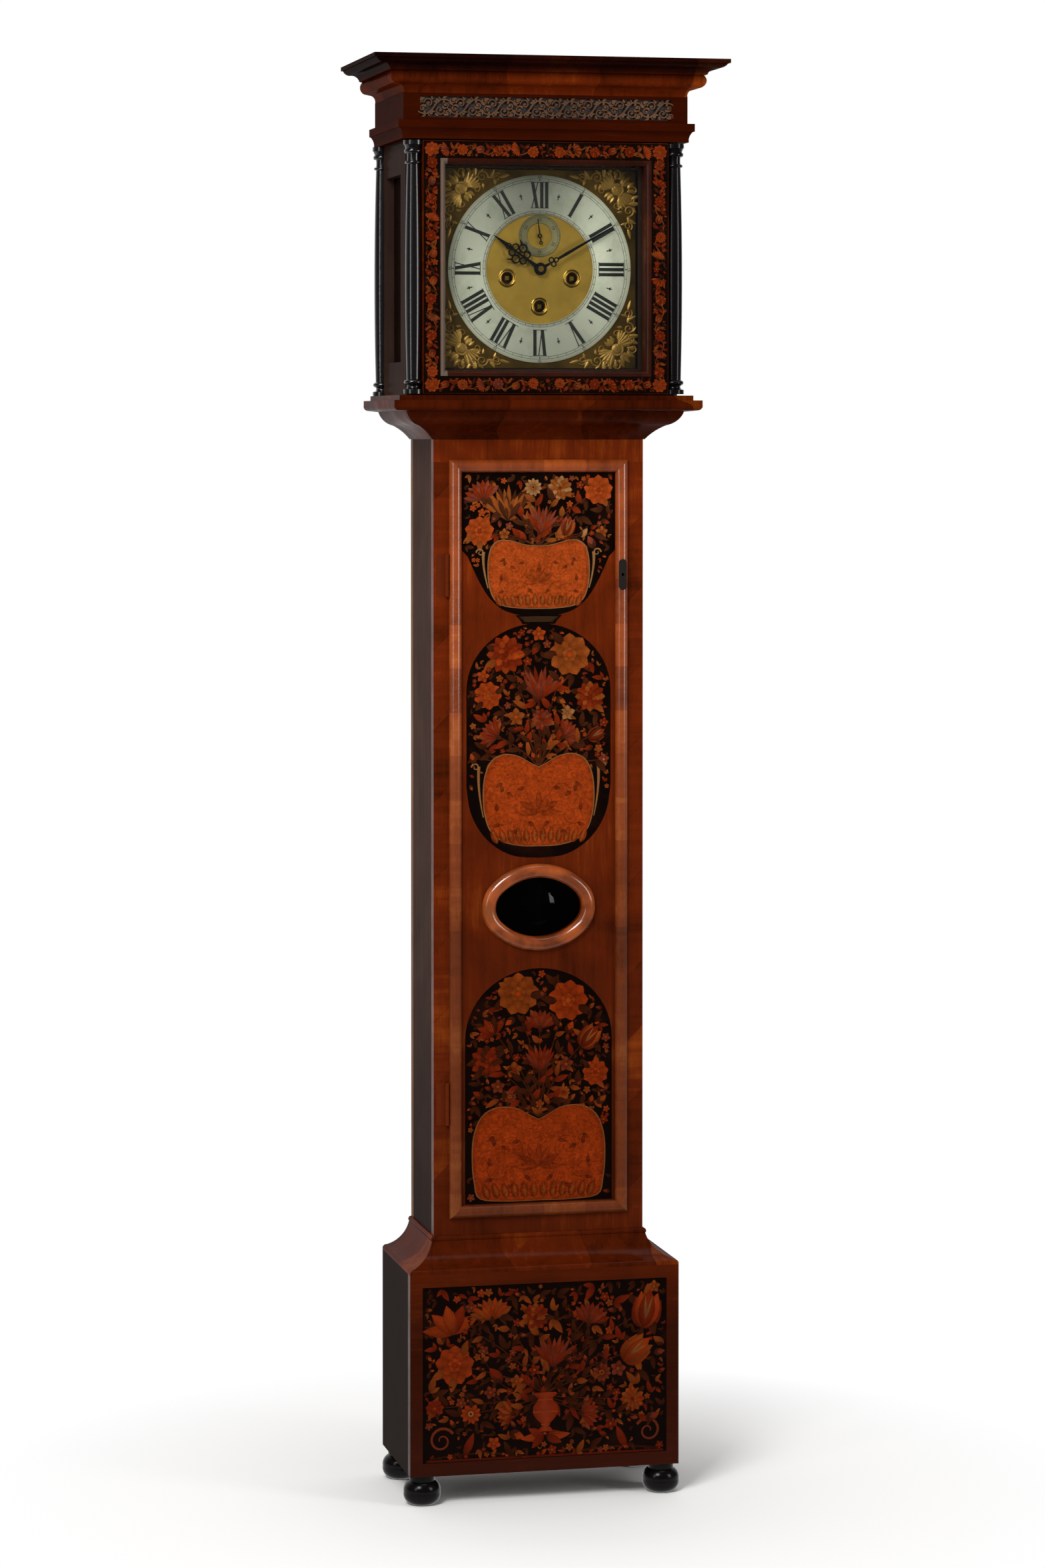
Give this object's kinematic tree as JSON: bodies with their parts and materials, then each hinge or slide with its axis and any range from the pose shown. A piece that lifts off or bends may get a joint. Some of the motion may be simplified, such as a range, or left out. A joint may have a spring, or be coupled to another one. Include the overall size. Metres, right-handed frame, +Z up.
{
  "type": "longcase clock",
  "caption": "Tall walnut clock case with a long oval-windowed trunk door, a sliding hood with a glazed door, a square dial, and a weight-driven pendulum movement inside.",
  "frame": {"origin": "on the floor, under the middle of the clock's overall box", "axes": "+X to the viewer's right, the front faces -Y, +Z up"},
  "size_m": [0.51, 0.262, 2.037],
  "materials": {
    "walnut": "polished walnut veneer",
    "dark_walnut": "dark walnut veneer",
    "ebonised": "ebonised and polished",
    "oak": "plain oak",
    "brass": "lacquered brass",
    "silvered": "silvered brass",
    "steel": "polished steel",
    "blued_steel": "blued steel",
    "iron": "wrought iron",
    "glass": "clear glass",
    "gut": "twisted gut",
    "silk": "red silk"
  },
  "bodies": {
    "case": {"back_boards": "oak", "trunk_sides": "dark_walnut", "trunk_front_frame": "walnut", "throat_moulding": "walnut", "base_moulding": "walnut", "base_front_panel": "walnut", "base_carcass": "dark_walnut", "bun_feet": "ebonised", "seatboard": "oak", "trunk_hinge_case_leaves": "brass", "dial_plate": "brass", "dial_rings": "silvered", "spandrels": "brass", "movement_plates": "brass", "plate_pillars": "brass", "bells": "brass", "going_line": "gut", "strike_line": "gut", "chime_line": "gut"},
    "trunk_door": {"trunk_hinge_door_leaves": "brass", "trunk_door_panel": "walnut", "trunk_door_beading": "walnut", "lenticle_glass": "glass", "trunk_lock_case": "iron"},
    "lock_bolt": {"trunk_lock_bolt": "iron"},
    "hood": {"hood_base_frame": "walnut", "hood_carcass": "dark_walnut", "hood_side_glass": "glass", "hood_rear_columns": "ebonised", "hood_architrave": "walnut", "hood_frieze": "dark_walnut", "hood_fret": "walnut", "fret_silk": "silk", "hood_cornice": "walnut"},
    "hood_door": {"hood_door_frame": "walnut", "hood_door_glass": "glass", "hood_door_columns": "ebonised"},
    "minute_arbor": {"centre_wheel": "brass", "minute_hand": "blued_steel"},
    "hour_pipe": {"hour_wheel": "brass", "hour_hand": "blued_steel"},
    "third_arbor": {"third_wheel": "brass"},
    "escape_arbor": {"escape_wheel": "brass", "seconds_hand": "blued_steel"},
    "motion_wheel": {"minute_wheel": "brass"},
    "great_wheel": {"going_great_wheel": "brass"},
    "going_drum": {"going_barrel": "brass"},
    "strike_drum": {"strike_barrel": "brass"},
    "chime_drum": {"chime_barrel": "brass"},
    "pallets": {"anchor_and_crutch": "steel"},
    "pendulum": {"pendulum_rod": "steel", "pendulum_bob": "brass"},
    "going_weight_body": {"going_weight": "brass"},
    "strike_weight_body": {"strike_weight": "brass"},
    "chime_weight_body": {"chime_weight": "brass"},
    "going_pulley_body": {"going_pulley": "brass"},
    "strike_pulley_body": {"strike_pulley": "brass"},
    "chime_pulley_body": {"chime_pulley": "brass"},
    "hour_hammer_body": {"hour_hammer": "steel"},
    "chime_hammer_body": {"chime_hammer": "steel"}
  },
  "joints": [
    {"name": "hood_slide", "type": "slide", "parent": "case", "child": "hood", "axis": [0, -1, 0], "range_m": [0, 0.24]},
    {"name": "hood_door_swing", "type": "hinge", "parent": "hood", "child": "hood_door", "pos_m": [0.1885, -0.069, 1.743], "axis": [0, 0, 1], "range_deg": [0, 105]},
    {"name": "trunk_door_swing", "type": "hinge", "parent": "case", "child": "trunk_door", "pos_m": [-0.1336, -0.0352, 0.935], "axis": [0, 0, -1], "range_deg": [0, 110]},
    {"name": "lock_bolt_throw", "type": "slide", "parent": "trunk_door", "child": "lock_bolt", "axis": [1, 0, 0], "range_m": [0, 0.008]},
    {"name": "minute_turn", "type": "hinge", "parent": "case", "child": "minute_arbor", "pos_m": [0, 0.021, 1.743], "axis": [0, 1, 0], "continuous": true},
    {"name": "hour_turn", "type": "hinge", "parent": "case", "child": "hour_pipe", "pos_m": [0, 0.021, 1.743], "axis": [0, 1, 0], "continuous": true},
    {"name": "third_turn", "type": "hinge", "parent": "case", "child": "third_arbor", "pos_m": [0.01356, 0.021, 1.76841], "axis": [0, 1, 0], "continuous": true},
    {"name": "escape_turn", "type": "hinge", "parent": "case", "child": "escape_arbor", "pos_m": [0, 0.021, 1.79], "axis": [0, 1, 0], "continuous": true},
    {"name": "motion_turn", "type": "hinge", "parent": "case", "child": "motion_wheel", "pos_m": [0.0156, 0.021, 1.71598], "axis": [0, 1, 0], "continuous": true},
    {"name": "great_turn", "type": "hinge", "parent": "case", "child": "great_wheel", "pos_m": [0, 0.021, 1.69], "axis": [0, 1, 0], "continuous": true},
    {"name": "pendulum_swing", "type": "hinge", "parent": "case", "child": "pendulum", "pos_m": [0, 0.079, 1.831], "axis": [0, 1, 0], "range_deg": [-2.5, 2.5]},
    {"name": "pallet_swing", "type": "hinge", "parent": "case", "child": "pallets", "pos_m": [0, 0.079, 1.831], "axis": [0, 1, 0], "range_deg": [-2.6, 2.6]},
    {"name": "hour_hammer_lift", "type": "hinge", "parent": "case", "child": "hour_hammer_body", "pos_m": [-0.084, 0.021, 1.811], "axis": [0, -1, 0], "range_deg": [0, 18]},
    {"name": "chime_hammer_lift", "type": "hinge", "parent": "case", "child": "chime_hammer_body", "pos_m": [0.084, 0.021, 1.811], "axis": [0, 1, 0], "range_deg": [0, 18]},
    {"name": "going_weight_fall", "type": "slide", "parent": "case", "child": "going_weight_body", "axis": [0, 0, 1], "range_m": [-0.65, 0.55], "deforming": ["going_line"]},
    {"name": "going_barrel_turn", "type": "hinge", "parent": "case", "child": "going_drum", "pos_m": [0, 0.021, 1.69], "axis": [0, 1, 0], "range_deg": [-3198.76, 2706.95]},
    {"name": "going_pulley_turn", "type": "hinge", "parent": "going_weight_body", "child": "going_pulley_body", "pos_m": [0, 0.02225, 1.017], "axis": [0, 1, 0], "range_deg": [-1600.38, 1354.47]},
    {"name": "strike_weight_fall", "type": "slide", "parent": "case", "child": "strike_weight_body", "axis": [0, 0, 1], "range_m": [-0.65, 0.55], "deforming": ["strike_line"]},
    {"name": "strike_barrel_turn", "type": "hinge", "parent": "case", "child": "strike_drum", "pos_m": [-0.047, 0.021, 1.73], "axis": [0, 1, 0], "range_deg": [-3198.76, 2706.95]},
    {"name": "strike_pulley_turn", "type": "hinge", "parent": "strike_weight_body", "child": "strike_pulley_body", "pos_m": [-0.0936, 0.02225, 1.017], "axis": [0, 1, 0], "range_deg": [-1354.47, 1600.38]},
    {"name": "chime_weight_fall", "type": "slide", "parent": "case", "child": "chime_weight_body", "axis": [0, 0, 1], "range_m": [-0.65, 0.55], "deforming": ["chime_line"]},
    {"name": "chime_barrel_turn", "type": "hinge", "parent": "case", "child": "chime_drum", "pos_m": [0.047, 0.021, 1.73], "axis": [0, 1, 0], "range_deg": [-2706.95, 3198.76]},
    {"name": "chime_pulley_turn", "type": "hinge", "parent": "chime_weight_body", "child": "chime_pulley_body", "pos_m": [0.0936, 0.02225, 1.017], "axis": [0, 1, 0], "range_deg": [-1600.38, 1354.47]}
  ],
  "couplings": [
    {"joint": "hour_turn", "follows": "minute_turn", "ratio": 0.083333},
    {"joint": "third_turn", "follows": "minute_turn", "ratio": -8},
    {"joint": "escape_turn", "follows": "minute_turn", "ratio": 60},
    {"joint": "motion_turn", "follows": "minute_turn", "ratio": -1},
    {"joint": "great_turn", "follows": "minute_turn", "ratio": -0.083333},
    {"joint": "pallet_swing", "follows": "pendulum_swing", "ratio": 1},
    {"joint": "going_barrel_turn", "follows": "going_weight_fall", "rad_per_m": 85.837},
    {"joint": "going_pulley_turn", "follows": "going_weight_fall", "rad_per_m": 42.918},
    {"joint": "strike_barrel_turn", "follows": "strike_weight_fall", "rad_per_m": 85.837},
    {"joint": "strike_pulley_turn", "follows": "strike_weight_fall", "rad_per_m": -42.918},
    {"joint": "chime_barrel_turn", "follows": "chime_weight_fall", "rad_per_m": -85.837},
    {"joint": "chime_pulley_turn", "follows": "chime_weight_fall", "rad_per_m": 42.918}
  ]
}
